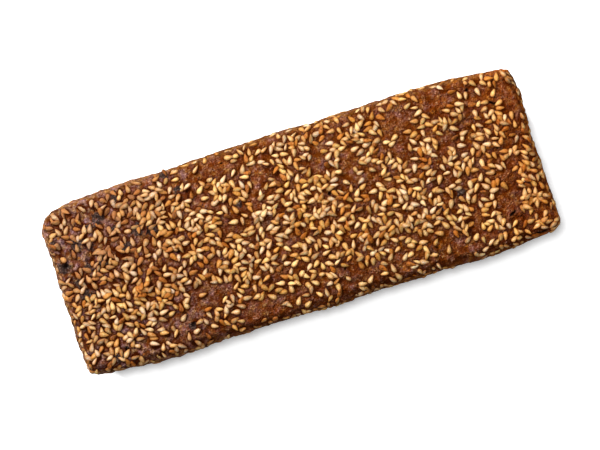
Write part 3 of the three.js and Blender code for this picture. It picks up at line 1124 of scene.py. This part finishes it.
# finest pale flecks, partly painted glints
crust.lay(pale_flecks_and_highlight, crust.noise(0.5, 2, 0.54, 0.72), crust.spread(dark_end, 0, 1, *FINE_FLECKS))
crust.lay(CHARRED, dark_end, crust.noise(2.3, 3, 0.54, 0.62), CHARRED_STRENGTH)
crust.tell("scorched end")

# %% [markdown]
# Against the tin the walls baked to an even tan. Syrup in the wash browned to orange stains, a few anywhere
# and many at the end at +X. One noise alone would leave a stain too round; two multiplied, a coarse one and
# a fine one, break its edge.

# %% Tan walls and orange stains
TAN = (0.30, 0.142, 0.050, 1)
ORANGE = (0.330, 0.1050, 0.0150, 1)
END_STAIN = 0.4

bright_end = crust.along(88, 106)
stain = crust.times(crust.noise(4.5, 2, 0.6, 0.69), crust.noise(1.2, 2, 0.4, 0.6))
end_stain = crust.times(bright_end, END_STAIN, crust.noise(1.6, 3, 0.4, 0.62))
crust.lay(TAN, crust.stored("wall"), crust.noise(1.8, 3, 0.3, 0.62))
crust.lay(ORANGE, crust.plus(stain, end_stain))
crust.tell("walls and stains")

# %% [markdown]
# Low spots of the relief get painted shade, specks are dark, and a painted shadow runs round each seed.
# Ambient occlusion could find the low spots too, but it is slow and would miss the seeds' shadows, and the
# mesh already keeps both.

# %% Painted shade in cavities, specks and painted seed shadows
SHADED_BROWN = (0.110, 0.0210, 0.0014, 1)
SPECK_AND_SEED_SHADOW_BROWN = (0.045, 0.0062, 0.0001, 1)
CAVITY_STRENGTH = 0.8
SPECK_STRENGTH = 0.7
SEED_SHADOW_STRENGTH = (0.98, 0.68)  # towards -X, and on the rest of the loaf

# painted shade in the low spots of the relief
crust.lay(SHADED_BROWN, crust.stored("cavity", 0.42, 0.85), CAVITY_STRENGTH)
crust.lay(SPECK_AND_SEED_SHADOW_BROWN, crust.noise(1.3, 3, 0.58, 0.66), SPECK_STRENGTH)
# painted shadow round each seed, stronger towards -X
crust.lay(SPECK_AND_SEED_SHADOW_BROWN, crust.stored("pool"), crust.spread(crust.along(-60, 0), 0, 1, *SEED_SHADOW_STRENGTH))
crust.tell("cavities and pools")

# %% [markdown]
# The round edges get painted light in spots, and the shoulder above the -Y wall, which faces away from the
# light, gets painted shade. The shares that the mesh keeps say where, and noise breaks them up, because an
# even band would look painted on.

# %% Painted light and shade on the edges
EDGE_LIGHT_BROWN = (0.270, 0.122, 0.0370, 1)
EDGE_LIGHT_PALE = (0.400, 0.195, 0.0850, 1)
EDGE_LIGHT_ORANGE = (0.580, 0.180, 0.0230, 1)
MINUS_Y_SHADE_BROWN = (0.045, 0.0095, 0.0018, 1)
MINUS_Y_SHADE_STRENGTH = 0.8

edge_light_colour = crust.mix(bright_end, crust.mix(dark_end, EDGE_LIGHT_BROWN, EDGE_LIGHT_PALE), EDGE_LIGHT_ORANGE)
# painted light on the round edges
crust.lay(edge_light_colour, crust.stored("rim"), crust.noise(2.2, 4, 0.38, 0.62))
# painted shade on the shoulder above the -Y wall
crust.lay(MINUS_Y_SHADE_BROWN, crust.stored("minus_y_shade"), crust.noise(2.8, 3, 0.3, 0.56), MINUS_Y_SHADE_STRENGTH)
crust.tell("worn edges")

# %% [markdown]
# A loaf's colour also drifts over its whole length and width. Yet more browns laid over it would wipe out
# the pattern, so these are casts: each multiplies the brown, which shifts its hue or its light and keeps
# what is drawn on it. Two casts wander, four follow the length or the width, and the finest draws the
# skin's grain. One of the four, along the -Y edge, is painted light from the white table below.

# %% Casts
NO_CAST = (1, 1, 1, 1)
YELLOW_CAST = (1.05, 0.98, 0.52, 1)
PURPLE_CAST = (0.97, 0.95, 1.45, 1)
DIM_CAST = (0.86, 0.86, 0.84, 1)
CLEAR_CAST = (1.13, 1.14, 1.14, 1)
ORANGE_CAST = (1.04, 0.92, 0.78, 1)
SCORCHED_CAST = (1.04, 1.12, 1.26, 1)
EDGE_BOUNCE_LIGHT_CAST = (1.42, 1.36, 1.3, 1)
LIGHT_CAST = (1.17, 1.19, 1.19, 1)
DARK_GRAIN = (0.73, 0.61, 0.44, 1)
LIGHT_GRAIN = (1.58, 1.54, 1.42, 1)

crust.cast(crust.noise(2.6, 3, 0.36, 0.64), YELLOW_CAST, PURPLE_CAST)
crust.cast(crust.noise(4.8, 3, 0.38, 0.62), DIM_CAST, CLEAR_CAST)
crust.cast(crust.along(55, 100), NO_CAST, ORANGE_CAST)
crust.cast(crust.along(-30, -90), NO_CAST, SCORCHED_CAST)
# painted light from the white table on the lowest strip along the -Y edge
crust.cast(crust.along(-36, -39, "Y"), NO_CAST, EDGE_BOUNCE_LIGHT_CAST)
crust.cast(crust.along(0, 22, "Y"), NO_CAST, LIGHT_CAST)
crust.cast(crust.noise(0.45, 2, 0.3, 0.7), DARK_GRAIN, LIGHT_GRAIN)
crust.tell("casts")

# %% [markdown]
# Burnt blisters are nearly black with spots of ash, and the hollows get painted shade, darker than any skin.
# A second material could colour them, but it would need a clean edge between faces, and char has none.
# They are laid last, after the casts, so that nothing lightens them.

# %% Blisters, and painted shade in the hollows
BURNT = (0.024, 0.0105, 0.0075, 1)
ASH = (0.230, 0.140, 0.1100, 1)
BURNT_STRENGTH = 0.9
HOLLOW_SHADE = (0.012, 0.0030, 0.0012, 1)

burnt = crust.mix(crust.noise(0.6, 2, 0.52, 0.7), BURNT, ASH)
crust.lay(burnt, crust.stored("blister", 0.2, 0.6), BURNT_STRENGTH)
# painted shade in the pits, cracks and pores
crust.lay(HOLLOW_SHADE, crust.stored("hollow", 0.05, 0.6))
crust.give("Base Color", crust.colour)
crust.tell("whole colour")

# %% [markdown]
# ## Shine of the crust
# Only the glazed spots shine, on raised skin and on blisters. One roughness for the whole crust would be
# simpler, but its even shine would lie over the browns as a grey veil. The last bump adds a grit that is
# too fine for the mesh.

# %% Glaze and fine grit
BLISTER_GLAZE = 0.3
ROUGHNESS = (0.7, 0.36)  # of dull skin, and of glazed skin
SHEEN = (0, 0.8)  # strength of the shine on each of the two
FINE_GRIT = 1.4  # millimetres that the noise would raise if it were real

glaze = crust.times(crust.noise(3.6, 2, 0.42, 0.62), crust.noise(0.9, 2, 0.48, 0.66), raised)
glaze = crust.plus(glaze, crust.times(crust.stored("blister"), BLISTER_GLAZE))
crust.give("Roughness", crust.spread(glaze, 0, 1, *ROUGHNESS))
crust.give("Specular IOR Level", crust.spread(glaze, 0, 1, *SHEEN))
crust.bump(crust.noise(0.65, 4, 0.25, 0.75), FINE_GRIT)
crust_piece.data.materials.append(crust.material)
crust.tell("crust")

# %% [markdown]
# ## Colour of the seeds
# Most of the seeds are cream to golden, and about one in six was toasted to orange-brown. A few materials
# could tell them apart, but their tones run into each other. So a colour ramp holds the whole row, from the
# darkest to the palest, and the tone that each seed carries picks its place on it. A fine mottle moves that
# place a little to and fro over every seed, or it would look like wax.

# %% Tones
TONES = [
    (0.0, (0.150, 0.048, 0.0090, 1)),
    (0.14, (0.40, 0.122, 0.0150, 1)),
    (0.32, (0.48, 0.193, 0.036, 1)),
    (0.55, (0.53, 0.275, 0.088, 1)),
    (0.8, (0.63, 0.395, 0.178, 1)),
    (1.0, (0.73, 0.530, 0.310, 1)),
]
TO_AND_FRO = 0.22

sesame = Recipe("toasted_sesame")
mottle = sesame.plus(sesame.noise(0.8, 3), -0.5)
tone = sesame.plus(sesame.stored("tone"), sesame.times(mottle, TO_AND_FRO))
ramp = sesame.nodes.new("ShaderNodeValToRGB")
sesame.feed(tone, ramp.inputs["Fac"])
while len(ramp.color_ramp.elements) < len(TONES):
    ramp.color_ramp.elements.new(0.5)  # anywhere, as it is moved to its place below
for element, (where, shade) in zip(ramp.color_ramp.elements, TONES):
    element.position = where
    element.color = shade
sesame.colour = ramp.outputs["Color"]
sesame.tell("tones")

# %% [markdown]
# A seed is palest in the middle of its back, its own cream with a painted highlight over it, and a deep
# orange-brown round its rim, its toasted colour with painted shade over it, and at its tip. Painting by the
# way its faces look would change with its lean, so we use what each corner remembers of its place on the
# seed. Then come casts, as on the crust, and over the seeds in the burnt corner the wash, which hides their
# own colour in spots.

# %% Back with painted highlight, rim with painted shade, tip and wash
CREAM_AND_HIGHLIGHT = (0.80, 0.620, 0.390, 1)
CREAM_AND_HIGHLIGHT_STRENGTH = 0.65  # on the palest seeds
RIM_TINT_AND_SHADE = (0.26, 0.076, 0.010, 1)
RIM_STRENGTH = 0.84
TIP_STRENGTH = 0.5
GOLDEN_CAST = (1.05, 0.98, 0.62, 1)
PALE_CAST = (0.98, 1.03, 1.2, 1)
DUSKY_CAST = (0.91, 0.89, 0.95, 1)
WASHED = (0.330, 0.150, 0.0620, 1)

# the seed's own pale back, with a painted highlight over it
sesame.lay(CREAM_AND_HIGHLIGHT, sesame.stored("back", 0.72, 1.0), sesame.spread(tone, 0.35, 0.8, 0, CREAM_AND_HIGHLIGHT_STRENGTH))
# toasted rim, with painted shade round it
sesame.lay(RIM_TINT_AND_SHADE, sesame.stored("back", 0.85, 0.2), RIM_STRENGTH)
sesame.lay(RIM_TINT_AND_SHADE, sesame.stored("along", 0.6, 1.0), TIP_STRENGTH)
sesame.cast(sesame.stored("cast"), GOLDEN_CAST, PALE_CAST)
sesame.cast(sesame.along(75, 100), NO_CAST, ORANGE_CAST)
sesame.cast(sesame.along(-20, -60), NO_CAST, DUSKY_CAST)
sesame.lay(WASHED, sesame.stored("washed"), sesame.noise(0.9, 2, 0.2, 0.6))
sesame.give("Base Color", sesame.colour)
sesame.tell("whole colour")

# %% [markdown]
# ## Skin of the seeds
# A sesame seed is oily inside, so a little light goes through its skin and comes out redder. Transmission
# would make it clear like glass. Subsurface light stays cloudy, and takes three numbers: how much, how far
# for each of red, green and blue, and the scale of that way.

# %% Satin skin
LIGHT_REACH = 0.5  # millimetres
SKIN_BUMP = 0.14  # millimetres, as for the grit of the crust

sesame.give("Roughness", 0.45)
sesame.give("Specular IOR Level", 0.22)
sesame.give("Subsurface Weight", 0.2)
sesame.give("Subsurface Radius", (1.0, 0.4, 0.12))
sesame.give("Subsurface Scale", LIGHT_REACH * MM)
sesame.bump(sesame.noise(0.45, 2), SKIN_BUMP)
seeds_piece.data.materials.append(sesame.material)
sesame.tell("seeds")

# %% [markdown]
# ## In place of the solid
# Both meshes lie where the solid lies, so they take its place. Loose seeds could ride on bodies of their own,
# but these were baked on, so seeds and crust ride together on the loaf's one body.

# %% Take the solid's place
for piece, slot in ((crust_piece, "crust"), (seeds_piece, "sesame")):
    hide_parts("rye_loaf")
    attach(piece, "root")
